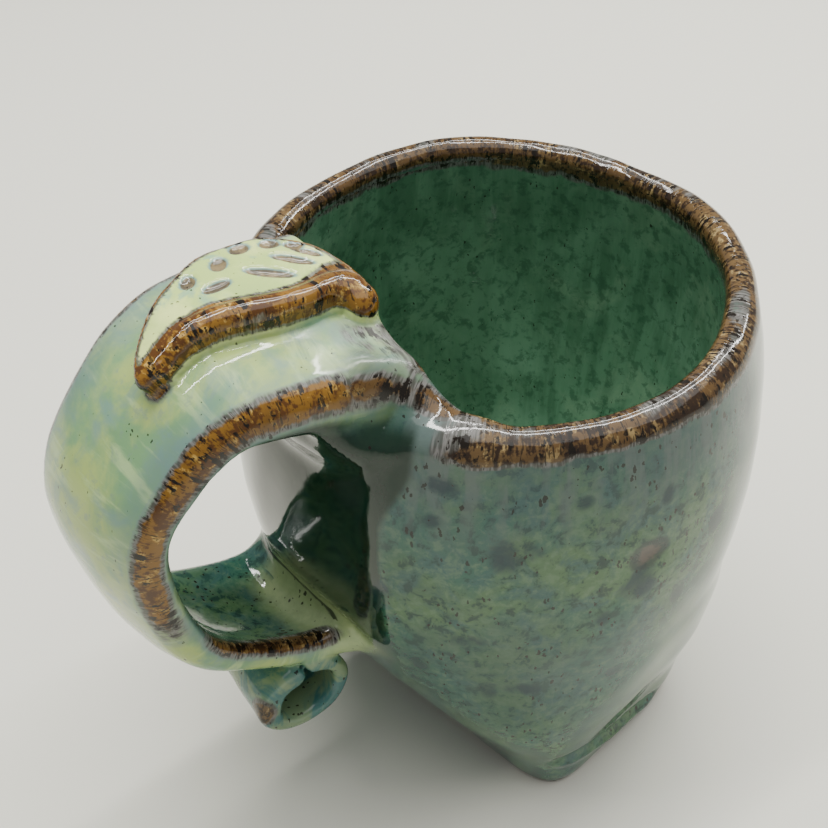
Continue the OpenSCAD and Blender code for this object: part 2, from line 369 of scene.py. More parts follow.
def leaf_tables(px, py):
    """Flat maps over the strap: distance to the leaf's outline, to its bead, and the presses."""
    edge, _ = line_distance(px, py, np.concatenate([leaf_outline, leaf_outline[:1]]))
    edge = np.where(inside(px, py, leaf_outline), -edge, edge)
    bead, at = line_distance(px, py, bead_curve)
    press = np.zeros(px.shape)
    for along, across, a, b, turn in PRESSES:
        c, s = math.cos(math.radians(turn)), math.sin(math.radians(turn))
        dx, dy = px - along, py - across
        q = np.hypot((dx * c + dy * s) / a, (dy * c - dx * s) / b)
        press = np.maximum(press, 1 - step(0.6, 1.3, q))
    return edge, bead, at, press


# ---------------------------------------------------------------- the curl

def curl_line():
    t = np.linspace(0, 1, 140)
    a = np.radians(CURL_START - CURL_SWEEP * t)
    r = CURL_R - CURL_PULL * t * t - CURL_END_GAIN * step(0.55, 0.8, t) - CURL_THICK / 2
    return np.stack([CURL_X + CURL_WIDE * r * np.cos(a), CURL_Z + r * np.sin(a)], -1)


def curl_field(near, at, y):
    """Distance to the rolled band, thicker where its end turns in."""
    front = -0.62 * CURL_LENGTH + 1.2 * at
    back = front + CURL_LENGTH * (1 - 0.2 * at)
    half = CURL_THICK / 2 + CURL_END_GAIN * step(0.55, 0.8, at)
    r = CURL_THICK / 2 - 0.15
    a = near - half + r
    b = np.abs(y - (front + back) / 2) - (back - front) / 2 + r
    out = np.hypot(np.maximum(a, 0), np.maximum(b, 0))
    return out + np.minimum(np.maximum(a, b), 0) - r


# ---------------------------------------------------------------- the grid

LO = np.array([-86.5, -52.5, -2.5])
HI = np.array([52.5, 51.0, 119.5])
shape = np.ceil((HI - LO) / VOXEL).astype(int)
gx, gy, gz = (LO[i] + VOXEL * np.arange(shape[i]) for i in range(3))
FAR = np.float32(9.0)
PARTS = ["cup", "strap", "leaf", "curl", "upper", "lower"]
fields = {p: np.full(shape, FAR, np.float32) for p in PARTS}

# The two coils of clay: height, half spread in degrees, thickness, and fall along the spread
COILS = (("upper", RIM_Z - 3.6, 29, UPPER_COIL, 0), ("lower", LOW + 8, 22, LOWER_COIL, 2.0))

X, Y = np.meshgrid(gx, gy, indexing="ij")
for k, z in enumerate(gz):
    zz = np.full_like(X, z)
    _, _, solid, a, rho = cup_fields(X, Y, zz)
    fields["cup"][:, :, k] = np.clip(solid, -FAR, FAR)
    for name, mid_z, spread, r0, tilt in COILS:
        if abs(z - mid_z) > 14:
            continue
        t = (np.degrees(a) % 360 - 180) / spread
        r = r0 * np.sqrt(np.maximum(0.02, 1 - np.clip(np.abs(t), 0, 1) ** 3))
        h = np.clip((mid_z + tilt * t) / RIM_Z, 0, 1)
        c = cup_radius(h, a) - 0.35 * r
        d = np.hypot(rho - c, z - mid_z - tilt * np.clip(t, -1, 1)) - r
        over = np.maximum(np.abs(t) - 1, 0) * np.radians(spread) * rho
        fields[name][:, :, k] = np.clip(d + over, -FAR, FAR)

# Clay worked over the front corner, from the strap's edge down into the rim
CORNER_RIDGE = np.array([(-38.5, -17.0, 107.6), (-35.1, -17.9, 106.2), (-33.3, -18.8, 105.0),
                         (-32.0, -20.4, 103.5), (-31.0, -22.1, 102.0), (-30.1, -24.1, 100.4),
                         (-29.4, -27.0, 99.0), (-27.6, -31.0, 98.4)])
CORNER_R = 3.4
# Where the amber edge runs over that clay
CORNER_GLOW = np.array([(-41.5, -18.2, 105.0), (-38, -18.6, 104.4), (-35.6, -19.2, 103.4),
                        (-33.6, -20.6, 102.0), (-32.2, -22.4, 100.8), (-31.0, -24.4, 99.6),
                        (-29.4, -27.6, 98.2), (-27.4, -31.2, 97.6)])
CORNER_CORE = CORNER_RIDGE + (-0.9, 1.2, -2.9)


def chain_distance(p, line):
    """Distance from points in space to a line of points."""
    best = np.full(len(p), 1e9)
    for a, b in zip(line[:-1], line[1:]):
        d = b - a
        t = np.clip((p - a) @ d / (d @ d), 0, 1)
        best = np.minimum(best, np.linalg.norm(p - a - t[:, None] * d, axis=1))
    return best


near = [(g > lo) & (g < hi) for g, lo, hi in ((gx, -50, -18), (gy, -42, -6), (gz, 88, 116))]
corner_box = np.ix_(*near)
bx, by, bz = np.meshgrid(gx[near[0]], gy[near[1]], gz[near[2]], indexing="ij")
corner = chain_distance(np.stack([bx.ravel(), by.ravel(), bz.ravel()], 1), CORNER_CORE) - CORNER_R
fields["upper"][corner_box] = melt(fields["upper"][corner_box],
                                   np.clip(corner.reshape(bx.shape), -FAR, FAR), 2.0)

# The strap, leaf and curl are narrow in Y and stand on maps of the side view
handle_x = gx < -14
SX, SZ = np.meshgrid(gx[handle_x], gz, indexing="ij")
S2, E2, O2 = near_spine(SX, SZ)
LEN2 = np.interp(S2, spine_s, spine_len) - O2 * (S2 < 0.1)
curl2, curlt2 = line_distance(SX, SZ, curl_line())
strap_lift = np.full((handle_x.sum(), shape[1], shape[2]), FAR, np.float32)
nx = int(handle_x.sum())

for j, y in enumerate(gy):
    v = -y
    if abs(v) < 30:
        d, lift = strap_field(S2, E2, O2, np.full_like(S2, v))
        fields["strap"][:nx, j, :] = np.clip(d, -FAR, FAR)
        strap_lift[:, j, :] = np.clip(lift, -FAR, FAR)
    fields["curl"][:nx, j, :] = np.clip(curl_field(curl2, curlt2, np.full_like(S2, y)), -FAR, FAR)

MAP = 0.4
map_along = np.arange(-12, 50, MAP)
map_across = np.arange(-30, 30, MAP)
MA, MV = np.meshgrid(map_along, map_across, indexing="ij")
leaf_edge, leaf_bead, leaf_at, leaf_press = leaf_tables(MA, MV)


def from_map(table, along, across):
    """Value of a flat map at places on the strap, straight-line between its points."""
    a = np.clip((along - map_along[0]) / MAP, 0, len(map_along) - 1.001)
    b = np.clip((across - map_across[0]) / MAP, 0, len(map_across) - 1.001)
    i, j = a.astype(int), b.astype(int)
    fa, fb = a - i, b - j
    return ((table[i, j] * (1 - fa) + table[i + 1, j] * fa) * (1 - fb)
            + (table[i, j + 1] * (1 - fa) + table[i + 1, j + 1] * fa) * fb)


LEAF_ROOT = 2.5  # how deep the leaf reaches into the strap
LEAF_ROUND = 1.3
PRESS_DEPTH = 0.8
BEAD_FADE = 6.0


def leaf_field(along, v, lift):
    edge = from_map(leaf_edge, along, v)
    bead = from_map(leaf_bead, along, v)
    at = from_map(leaf_at, along, v)
    press = from_map(leaf_press, along, v)
    high = LEAF_BACK + (LEAF_HEIGHT - LEAF_BACK - 0.7) * np.exp(-bead / BEAD_FADE)
    slab = carve(edge, lift - high + PRESS_DEPTH * press, LEAF_ROUND)
    slab = np.maximum(slab, -lift - LEAF_ROOT)
    r = 1.0 + 0.85 * step(0, 0.3, at) + 1.1 * step(0.62, 0.86, at)
    rise = LEAF_HEIGHT - r - 1.6 * step(0.25, 0, at) - 0.5 * step(0.8, 1.0, at)
    tube = np.hypot(bead, np.maximum(lift - rise, 0)) - r
    stem = np.maximum(tube, -lift - LEAF_ROOT)
    return melt(slab, stem, 1.0)


for j, y in enumerate(gy):
    v = -y
    if abs(v) < 26:
        near = (LEN2 < 46) & (LEN2 > -9) & (E2 > -8) & (E2 < 16)
        d = leaf_field(LEN2[near], np.full(near.sum(), v), strap_lift[:, j, :][near])
        plane = np.full(SX.shape, FAR)
        plane[near] = d
        fields["leaf"][:nx, j, :] = np.clip(plane, -FAR, FAR)

FILLETS = (("upper", 5), ("lower", 2.4), ("strap", 4.5), ("curl", 1.8), ("leaf", 1.2))
SLOW_WAVE = 0.22
QUICK_WAVE = 0.09
total = fields["cup"]
for name, fillet in FILLETS:
    total = melt(total, fields[name], fillet)
for k, z in enumerate(gz):
    zz = np.full_like(X, z)
    total[:, :, k] += SLOW_WAVE * waves(X, Y, zz, 34, 3) + QUICK_WAVE * waves(X, Y, zz, 11, 5)
    total[:, :, k] = np.maximum(total[:, :, k], -z)


def sample(grid, p):
    """Value of a grid at points in millimetres."""
    q = (p - LO) / VOXEL
    q = np.clip(q, 0, np.array(grid.shape) - 1.001)
    i = q.astype(int)
    f = q - i
    out = 0
    for a in (0, 1):
        for b in (0, 1):
            for c in (0, 1):
                w = ((f[:, 0] if a else 1 - f[:, 0]) * (f[:, 1] if b else 1 - f[:, 1])
                     * (f[:, 2] if c else 1 - f[:, 2]))
                out = out + w * grid[i[:, 0] + a, i[:, 1] + b, i[:, 2] + c]
    return out


BAND = 3 * VOXEL
vdb = openvdb.FloatGrid(BAND)
vdb.copyFromArray(np.clip(total, -BAND, BAND).astype(np.float32), tolerance=0.0)
points, quads = vdb.convertToQuads(isovalue=0.0)
points = np.asarray(points, float) * VOXEL + LO
quads = np.asarray(quads, int)
tris = np.concatenate([quads[:, [0, 1, 2]], quads[:, [0, 2, 3]]])


def vertex_normals(p, t):
    n = np.cross(p[t[:, 1]] - p[t[:, 0]], p[t[:, 2]] - p[t[:, 0]])
    out = np.zeros_like(p)
    for i in range(3):
        np.add.at(out, t[:, i], n)
    return out / np.maximum(np.linalg.norm(out, axis=1), 1e-12)[:, None]


if np.einsum("ij,ij->", points - points.mean(0), vertex_normals(points, tris)) < 0:
    tris = tris[:, ::-1]

# ---------------------------------------------------------------- cutting into pieces

PIECES = ["cup_wall", "floor_slab", "foot", "handle_strap", "leaf_rest", "tail_curl",
          "upper_join", "lower_join"]


CLAIM_LIMIT = 40.0
CLAIM_FIRM = 9


def claims(p):
    """How near each point is to each piece, smaller being nearer."""
    cup = sample(fields["cup"], p)
    core = np.hypot(p[:, 0], p[:, 1] + FOOT_SHIFT)
    slab_top = FLOOR_Z + 1.1 * step(34, 18, core)

    def past(distance):
        return np.clip(distance, 0, CLAIM_LIMIT) * CLAIM_FIRM

    return np.stack([
        cup + past(slab_top - p[:, 2]),
        cup + past(p[:, 2] - slab_top) + past(FOOT_Z - p[:, 2]),
        cup + past(p[:, 2] - FOOT_Z),
        sample(fields["strap"], p),
        sample(fields["leaf"], p) - 0.25,
        sample(fields["curl"], p) - 0.1,
        sample(fields["upper"], p) + 0.4,
        sample(fields["lower"], p) - 0.2,
    ], 1)


claim = claims(points)
label = claim.argmin(1)


def cut(p, t, claim, label):
    """Cuts triangles where the nearest piece changes. Returns points and labelled triangles."""
    la = label[t]
    same = (la[:, 0] == la[:, 1]) & (la[:, 1] == la[:, 2])
    out = [t[same]]
    out_label = [la[same, 0]]
    rest = t[~same]
    pairs = np.concatenate([rest[:, [0, 1]], rest[:, [1, 2]], rest[:, [2, 0]]])
    pairs = np.sort(pairs[label[pairs[:, 0]] != label[pairs[:, 1]]], 1)
    pairs = np.unique(pairs, axis=0)
    a, b = pairs[:, 0], pairs[:, 1]
    la_, lb_ = label[a], label[b]
    da = claim[a, la_] - claim[a, lb_]
    db = claim[b, la_] - claim[b, lb_]
    w = np.clip(da / np.where(da - db == 0, -1, da - db), 0.06, 0.94)[:, None]
    mids = p[a] * (1 - w) + p[b] * w
    number = {tuple(q): len(p) + i for i, q in enumerate(pairs.tolist())}
    extra = []
    new, new_label = [], []
    base = len(p) + len(mids)

    def mid(i, j):
        return number[(i, j) if i < j else (j, i)]

    for i, j, k in rest.tolist():
        li, lj, lk = label[i], label[j], label[k]
        if li != lj and lj != lk and li != lk:
            c = base + len(extra)
            ij, jk, ki = mid(i, j), mid(j, k), mid(k, i)
            extra.append((p[i] + p[j] + p[k]) / 3)
            for q, own in (((i, ij, c), li), ((i, c, ki), li), ((j, jk, c), lj),
                           ((j, c, ij), lj), ((k, ki, c), lk), ((k, c, jk), lk)):
                new.append(q)
                new_label.append(own)
            continue
        while label[i] == label[j] or label[i] == label[k]:
            i, j, k = j, k, i
        ij, ki = mid(i, j), mid(k, i)
        new += [(i, ij, ki), (ij, j, k), (ij, k, ki)]
        new_label += [label[i], label[j], label[j]]
    out.append(np.array(new, int).reshape(-1, 3))
    out_label.append(np.array(new_label, int))
    parts = [p, mids] + ([np.array(extra)] if extra else [])
    return np.concatenate(parts), np.concatenate(out), np.concatenate(out_label)


def absorb(t, tri_label, least=60):
    """Gives stray scraps of one piece inside another to their neighbour."""
    for _ in range(3):
        changed = False
        edges = {}
        for f, (a, b, c) in enumerate(t.tolist()):
            for q in ((a, b), (b, c), (c, a)):
                edges.setdefault((q[0], q[1]) if q[0] < q[1] else (q[1], q[0]), []).append(f)
        group = np.arange(len(t))

        def first(i):
            while group[i] != i:
                group[i] = group[group[i]]
                i = group[i]
            return i

        for fs in edges.values():
            if len(fs) == 2 and tri_label[fs[0]] == tri_label[fs[1]]:
                a, b = first(fs[0]), first(fs[1])
                if a != b:
                    group[a] = b
        roots = np.array([first(i) for i in range(len(t))])
        _, inv, count = np.unique(roots, return_inverse=True, return_counts=True)
        small = count[inv] < least
        if not small.any():
            return tri_label
        for fs in edges.values():
            if len(fs) == 2:
                a, b = fs
                if small[a] != small[b]:
                    s, g = (a, b) if small[a] else (b, a)
                    members = roots == roots[s]
                    tri_label[members] = tri_label[g]
                    small = small & ~members
                    changed = True
        if not changed:
            return tri_label
    return tri_label


verts, faces, face_label = cut(points, tris, claim, label)
face_label = absorb(faces, face_label)
normals = vertex_normals(verts, faces)

# ---------------------------------------------------------------- what the glaze needs to know

x, y, z = verts.T
h = np.clip(z / RIM_Z, 0, 1)
_, hollow_v, _, angle_v, _ = cup_fields(x, y, z)
s_v, e_v, o_v = near_spine(x, z)
v_v = -y
half_v = curve(HALF_WIDTH_LINE, s_v, True)
thick_v = curve(THICK_LINE, s_v, True)
lift_v = e_v + strap_drop(v_v, half_v, s_v)
along_v = np.interp(s_v, spine_s, spine_len) - o_v * (s_v < 0.1)
f_cup = sample(fields["cup"], verts)
f_strap = sample(fields["strap"], verts)
f_leaf = sample(fields["leaf"], verts)
f_curl = sample(fields["curl"], verts)
on_strap = step(3.0, -0.2, f_strap) * (x < -20)
on_leaf = step(0.9, 0.0, f_leaf)
on_curl = step(1.2, 0.0, f_curl)
inside_cup = step(1.5, -0.5, hollow_v - 1.5) * step(RIM_Z - 0.5, RIM_Z - 4, z)

# Where the glaze thins over an edge and breaks to amber and brown
off_strap = 1 - on_strap
BAND_DROP = 1.8  # the amber band's middle under the top of the lip, and its half widths
BAND_TOP, BAND_INSIDE, BAND_OUTSIDE = 3.8, 4.0, 2.2
lip_level = RIM_Z - BAND_DROP + rim_rise(angle_v)
turn_v = np.degrees(angle_v)
rim_patch = 1 + 0.16 * waves(x, y, 0 * z, 16, 21) + 0.14 * waves(x, y, 0 * z, 6, 22)
rim_reach = np.where(inside_cup > 0.5, BAND_INSIDE, BAND_OUTSIDE)
rim_reach = np.where(z > lip_level, BAND_TOP, rim_reach) * rim_patch
by_handle = np.where(turn_v < 0, step(-143, -132, turn_v), step(176, 165, turn_v))
rim_off = np.abs(z - lip_level) / rim_reach
under_handle = step(0.0, 1.5, f_strap) * (1 - step(-34, -38, x) * step(24, 18, np.abs(y)))
rim_edge = np.clip(1 - rim_off, 0, 1) * (1 - on_leaf) * under_handle * by_handle
front_wide = 2.5 - 0.5 * step(0.15, 0.35, s_v)
front_edge = np.hypot((v_v - half_v + 0.6) / front_wide, (lift_v + 1.5) / (front_wide + 0.6))
front_edge = np.clip(1.12 - front_edge, 0, 1)
front_edge = front_edge * step(0.60, 0.46, s_v)
back_edge = np.clip(1 - np.hypot((v_v + half_v - 1.0) / 2.4, (lift_v + 1.2) / 3.0), 0, 1)
low_edge = np.clip(1 - np.hypot((v_v - half_v + 1.6) / 3.0, (lift_v + thick_v - 1.0) / 2.6), 0, 1)
low_edge = low_edge * step(0.58, 0.68, s_v) * step(1.02, 0.97, s_v)
strap_edge = np.maximum.reduce([front_edge, 0.8 * back_edge, 1.1 * low_edge]) * on_strap
bead_v = from_map(leaf_bead, along_v, v_v)
bead_at = from_map(leaf_at, along_v, v_v)
edge_v = from_map(leaf_edge, along_v, v_v)
bead_wide = 2.0 + 1.6 * step(0.6, 0.85, bead_at)
bead_edge = np.clip(1.7 - bead_v / bead_wide, 0, 1) * step(0.8, 2.4, lift_v) * on_leaf
bead_edge = np.maximum(bead_edge, step(3.2, 1.0, np.hypot(along_v - 41.4, v_v - 4.0)) * on_leaf)
thin_edge = np.clip(1.1 - np.abs(edge_v) / 1.5, 0, 1) * (bead_v > 2.5) * step(1.6, 0.6, f_leaf)
thin_edge = thin_edge * step(-0.3, 1.0, lift_v)
press_v = from_map(leaf_press, along_v, v_v) * on_leaf * step(0.6, 1.2, lift_v)
spot = np.linalg.norm(verts - (CURL_X - 8.6, -14.2, CURL_Z + 0.2), axis=1)
curl_edge = step(4.2, 0.8, spot) * on_curl
corner_edge = np.clip(1.15 - chain_distance(verts, CORNER_GLOW) / 2.6, 0, 1)
haze = 0.26 * step(15, 8, along_v) * step(6.5, 10, v_v) * step(-4, -2, lift_v) * on_strap
edge = np.maximum.reduce([rim_edge, strap_edge * (1 - on_leaf), bead_edge, 1.1 * thin_edge,
                          0.9 * curl_edge, corner_edge * (1 - on_leaf), haze * (1 - on_leaf)])
pale = on_strap * step(0.995, 0.93, s_v) * step(-6.2, -4.2, lift_v)
pale = np.maximum(np.clip(pale, 0, 1), on_leaf)
join_glow = step(7.0, 1.0, sample(fields["lower"], verts)) * step(10, 4, y)
# Painted shade: the wall facing the handle, the strap's underside and a strip by the upper corner
# are darkened to near black, standing in for the strap's shadow and its dark reflection in the
# glaze
painted_shade = step(-149.2, -150.6, turn_v) + step(149, 153, turn_v)
painted_shade = painted_shade * (1 - inside_cup) * off_strap * step(40, 56, z) * (1 - on_leaf)
painted_shade = np.maximum(painted_shade, on_strap * step(-4.6, -5.4, lift_v) * step(0.42, 0.30, s_v))
f_low = np.minimum(sample(fields["lower"], verts), f_strap)
shade_end = -149.8 + 5.6 * step(80, 94, z)
shade_by_corner = step(shade_end + 1, shade_end - 1, turn_v) * step(101, 98, z) * step(76, 82, z)
painted_shade = np.maximum(painted_shade, shade_by_corner * (turn_v < 0) * (1 - inside_cup) * (1 - edge))
dull = on_strap * step(19, 14, along_v) * step(-3.5, -2.5, lift_v) * (1 - on_leaf)
seam = np.clip(1 - np.abs(f_low - 0.9) / 0.7, 0, 1) * (np.abs(f_cup) < 1.0)
seam = seam * step(62, 56, z) * step(38, 42, z) * (x < -30)

# The wall under the handle was pressed flatter, up to a soft crease, and shades that way
flat = step(-178, -152, turn_v) * step(-147.4, -149.4, turn_v) * (1 - inside_cup) * off_strap
FLAT_TURN = -14.0
flat_turn = np.radians(FLAT_TURN) * flat * step(36, 46, z) * step(101, 97, z)
flat_c, flat_s = np.cos(flat_turn), np.sin(flat_turn)
normals = np.stack([normals[:, 0] * flat_c - normals[:, 1] * flat_s,
                    normals[:, 0] * flat_s + normals[:, 1] * flat_c, normals[:, 2]], 1)

# Dark blue-green blotches on the wall: turn round the cup, height, width and depth
BLOTCHES = [(-125.9, 79, 2.6, 3.4), (-120.7, 79.5, 2.2, 2.4), (-132.5, 57.5, 3.0, 1.8),
            (-127.6, 43, 2.0, 3.0), (-121.3, 43.5, 3.4, 1.8), (-97.5, 66.5, 3.6, 3.6),
            (-137.7, 92, 2.6, 1.8), (-140.1, 85, 2.0, 1.5), (-110.8, 87.5, 1.6, 1.3),
            (-105, 61, 1.6, 2.2), (-86, 58, 1.8, 3.0), (-76, 70, 2.0, 3.6), (-64, 88, 1.6, 5.0),
            (-58, 74, 2.0, 4.0), (-100, 43, 2.4, 2.0), (-143, 47, 2.0, 2.4), (-30, 66, 3.0, 3.0),
            (10, 50, 3.2, 2.4), (48, 78, 2.6, 3.4), (85, 60, 3.0, 3.0), (120, 44, 2.4, 3.0),
            (-92, 84, 1.4, 2.0), (-150, 66, 2.0, 3.0), (140, 80, 2.6, 2.6)]
blotch = np.zeros(len(verts))
for turn, height, wide, deep in BLOTCHES:
    off = (turn_v - turn + 180) % 360 - 180
    q = np.hypot(np.radians(off) * WALL_R / wide, (z - height) / deep)
    blotch = np.maximum(blotch, np.clip(1.5 - q, 0, 1))
blotch = blotch * off_strap * (1 - inside_cup) * (1 - on_curl)
DENT_TURN, DENT_Z = -95.8, 72.6
dent_q = np.hypot(np.radians(turn_v - DENT_TURN) * WALL_R / 4.2, (z - DENT_Z) / 3.4)
dent = np.clip(1.35 - dent_q, 0, 1) * off_strap * (1 - inside_cup)

cool = step(-4, -13, v_v) * step(0.02, 0.12, s_v) + step(-2.0, -4.0, lift_v)
cool = np.maximum(cool, 0.7 * step(half_v - 7.5, half_v - 3.5, v_v) * step(0.60, 0.45, s_v))
cool = cool * on_strap * (1 - on_leaf)

# The grain of the glaze runs down the wall, over the lip, and across the strap's edges
R_GRAIN = 42.0
ROLL = 0.18
on_strap_grain = (on_strap > 0.5) | (on_leaf > 0.5)
grain = np.where(
    on_strap_grain[:, None],
    np.stack([along_v + 200, 0.6 * ROLL * v_v, ROLL * (v_v - lift_v)], 1),
    np.stack([R_GRAIN * np.cos(angle_v), R_GRAIN * np.sin(angle_v),
              ROLL * np.where(inside_cup > 0.5, 2 * RIM_Z - z, z)], 1))
ATTRIBUTES = {
    "edge": edge,
    "pale": pale,
    "inside": inside_cup,
    "leaf": on_leaf * step(0.4, 1.3, lift_v),
    "press": press_v,
    "curl": on_curl,
    "join": join_glow,
    "seam": seam,
    "blotch": blotch,
    "painted_shade": np.clip(painted_shade, 0, 1),
    "cool": np.clip(cool, 0, 1),
    "dull": np.clip(dull, 0, 1),
    "dent": dent,
    "drip": step(RIM_Z - 26, RIM_Z - 5, z) * off_strap,
    "grain_x": grain[:, 0],
    "grain_y": grain[:, 1],
    "grain_z": grain[:, 2],
}

# ---------------------------------------------------------------- materials


class Nodes:
    """Small helper to lay out a node tree in reading order."""

    def __init__(self, name):
        self.material = bpy.data.materials.new(name)
        self.material.use_nodes = True
        self.tree = self.material.node_tree
        self.tree.nodes.clear()

    def add(self, kind, inputs=None, **settings):
        node = self.tree.nodes.new("ShaderNode" + kind)
        for key, value in settings.items():
            setattr(node, key, value)
        for key, value in (inputs or {}).items():
            self.put(node.inputs[key], value)
        return node

    def put(self, socket, value):
        if isinstance(value, bpy.types.NodeSocket):
            self.tree.links.new(value, socket)
        else:
            socket.default_value = value

    def math(self, operation, a, b):
        return self.add("Math", {0: a, 1: b}, operation=operation).outputs[0]

    def ramp(self, value, lo, hi, to_lo=0.0, to_hi=1.0):
        node = self.add("MapRange", {"Value": value, "From Min": lo, "From Max": hi,
                                     "To Min": to_lo, "To Max": to_hi},
                        interpolation_type="SMOOTHSTEP")
        return node.outputs[0]

    def mix(self, share, a, b, blend="MIX"):
        node = self.add("Mix", data_type="RGBA", blend_type=blend)
        self.put(node.inputs[0], share)
        self.put(node.inputs[6], a)
        self.put(node.inputs[7], b)
        return node.outputs[2]

    def tint(self, colour, value, lo, hi, share, toward):
        """Takes a colour up to that share of the way to another as the value rises."""
        return self.mix(self.ramp(value, lo, hi, 0, share), colour, toward)

    def noise(self, where, scale, detail=3.0, rough=0.5, twist=0.0):
        node = self.add("TexNoise", {"Vector": where, "Scale": scale, "Detail": detail,
                                     "Roughness": rough, "Distortion": twist})
        return node.outputs[0]

    def attribute(self, name):
        return self.add("Attribute", attribute_name=name).outputs["Fac"]

    def finish(self, inputs):
        """Ends the tree in one Principled shader and gives back the material."""
        shader = self.add("BsdfPrincipled", inputs)
        out = self.add("OutputMaterial")
        self.put(out.inputs[0], shader.outputs[0])
        return self.material


def rgb(r, g, b):
    return (r, g, b, 1.0)


def glaze(name):
    n = Nodes(name)
    place = n.add("TexCoord").outputs["Object"]
    edge, pale, inner = n.attribute("edge"), n.attribute("pale"), n.attribute("inside")
    leaf, press, curl = n.attribute("leaf"), n.attribute("press"), n.attribute("curl")
    grain = n.add("CombineXYZ", {0: n.attribute("grain_x"), 1: n.attribute("grain_y"),
                                 2: n.attribute("grain_z")}).outputs[0]

    cloud = n.noise(place, 55, 5, 0.62, 0.6)
    wide = n.noise(place, 24, 4, 0.55, 0.8)
    patch = n.noise(place, 120, 4, 0.6, 0.8)
    fine = n.noise(place, 420, 4, 0.65, 0.3)
    run = n.noise(grain, 0.30, 5, 0.62, 0.3)
    dash = n.noise(grain, 0.85, 3, 0.6, 0.2)
    hair = n.noise(grain, 1.9, 2, 0.5)

    # Outside of the cup: grey-green, clouded with olive and teal
    body = n.mix(n.ramp(cloud, 0.36, 0.60), rgb(0.030, 0.115, 0.078), rgb(0.078, 0.158, 0.068))
    body = n.tint(body, patch, 0.46, 0.66, 0.8, rgb(0.034, 0.098, 0.094))
    body = n.tint(body, fine, 0.50, 0.66, 0.6, rgb(0.125, 0.205, 0.115))
    body = n.tint(body, fine, 0.49, 0.37, 0.85, rgb(0.010, 0.040, 0.030))
    body = n.tint(body, wide, 0.58, 0.40, 0.45, rgb(0.030, 0.070, 0.062))
    body = n.mix(n.math("MULTIPLY", n.attribute("drip"), 0.35), body, rgb(0.055, 0.088, 0.100))
    drip = n.math("MULTIPLY", n.attribute("drip"), n.ramp(run, 0.42, 0.60))
    body = n.mix(n.math("MULTIPLY", drip, 0.7), body, rgb(0.100, 0.128, 0.118))
    # Painted shade: near black on the wall under the handle and on the strap's underside, for the
    # strap's shadow and its dark reflection
    body = n.mix(n.math("MULTIPLY", n.attribute("painted_shade"), 0.92), body, rgb(0.004, 0.018, 0.008))

    # Inside: deeper green with vertical runs
    well = n.mix(n.ramp(run, 0.36, 0.64), rgb(0.066, 0.165, 0.092), rgb(0.108, 0.240, 0.142))
    well = n.tint(well, cloud, 0.46, 0.70, 0.6, rgb(0.205, 0.345, 0.215))
    well = n.tint(well, wide, 0.44, 0.66, 0.6, rgb(0.180, 0.350, 0.225))
    well = n.tint(well, fine, 0.52, 0.36, 0.6, rgb(0.030, 0.095, 0.052))
    colour = n.mix(inner, body, well)

    # Handle: pale yellow-green with blue-grey drifts
    light = n.mix(n.ramp(cloud, 0.40, 0.60), rgb(0.180, 0.340, 0.160), rgb(0.380, 0.490, 0.150))
    light = n.tint(light, patch, 0.46, 0.70, 0.7, rgb(0.165, 0.290, 0.270))
    light = n.tint(light, run, 0.52, 0.66, 0.6, rgb(0.500, 0.640, 0.300))
    light = n.tint(light, fine, 0.55, 0.70, 0.5, rgb(0.190, 0.270, 0.230))
    light = n.mix(n.math("MULTIPLY", n.attribute("cool"), n.ramp(cloud, 0.30, 0.60, 0.85, 0.45)),
                  light, rgb(0.130, 0.215, 0.195))
    light = n.tint(light, edge, 0.0, 0.05, 0.4, rgb(0.170, 0.225, 0.235))
    colour = n.mix(pale, colour, light)
    colour = n.mix(n.math("MULTIPLY", n.attribute("join"), 0.8), colour,
                   n.mix(fine, rgb(0.270, 0.370, 0.160), rgb(0.480, 0.570, 0.270)))
    top = n.mix(n.ramp(cloud, 0.40, 0.60), rgb(0.440, 0.580, 0.170), rgb(0.640, 0.750, 0.260))
    top = n.tint(top, patch, 0.54, 0.66, 0.7, rgb(0.200, 0.380, 0.280))
    colour = n.mix(leaf, colour, top)
    teal = n.mix(n.ramp(patch, 0.45, 0.6), rgb(0.055, 0.165, 0.160), rgb(0.220, 0.300, 0.160))
    colour = n.mix(n.math("MULTIPLY", curl, 0.85), colour, teal)

    # Dark blue-green blotches, and the brown bruise with its dark rim
    tatter = n.math("ADD", n.math("MULTIPLY", n.math("SUBTRACT", patch, 0.5), 2.4),
                    n.math("MULTIPLY", n.math("SUBTRACT", fine, 0.5), 1.5))
    ragged_blot = n.math("ADD", n.attribute("blotch"),
                         n.math("MULTIPLY", tatter, n.ramp(n.attribute("blotch"), 0, 0.5)))
    colour = n.tint(colour, ragged_blot, 0.25, 1.10, 0.8, rgb(0.008, 0.028, 0.038))
    bruise = n.math("ADD", n.attribute("dent"),
                    n.math("MULTIPLY", n.math("MULTIPLY", tatter, 0.5),
                           n.ramp(n.attribute("dent"), 0, 0.5)))
    colour = n.tint(colour, bruise, 0.25, 0.60, 0.75, rgb(0.014, 0.024, 0.022))
    colour = n.tint(colour, bruise, 0.70, 1.05, 0.85, rgb(0.095, 0.066, 0.050))
    colour = n.mix(n.ramp(n.math("ADD", n.attribute("seam"), n.math("MULTIPLY", fine, 0.5)),
                          0.75, 1.05, 0, 0.85), colour, rgb(0.020, 0.024, 0.014))

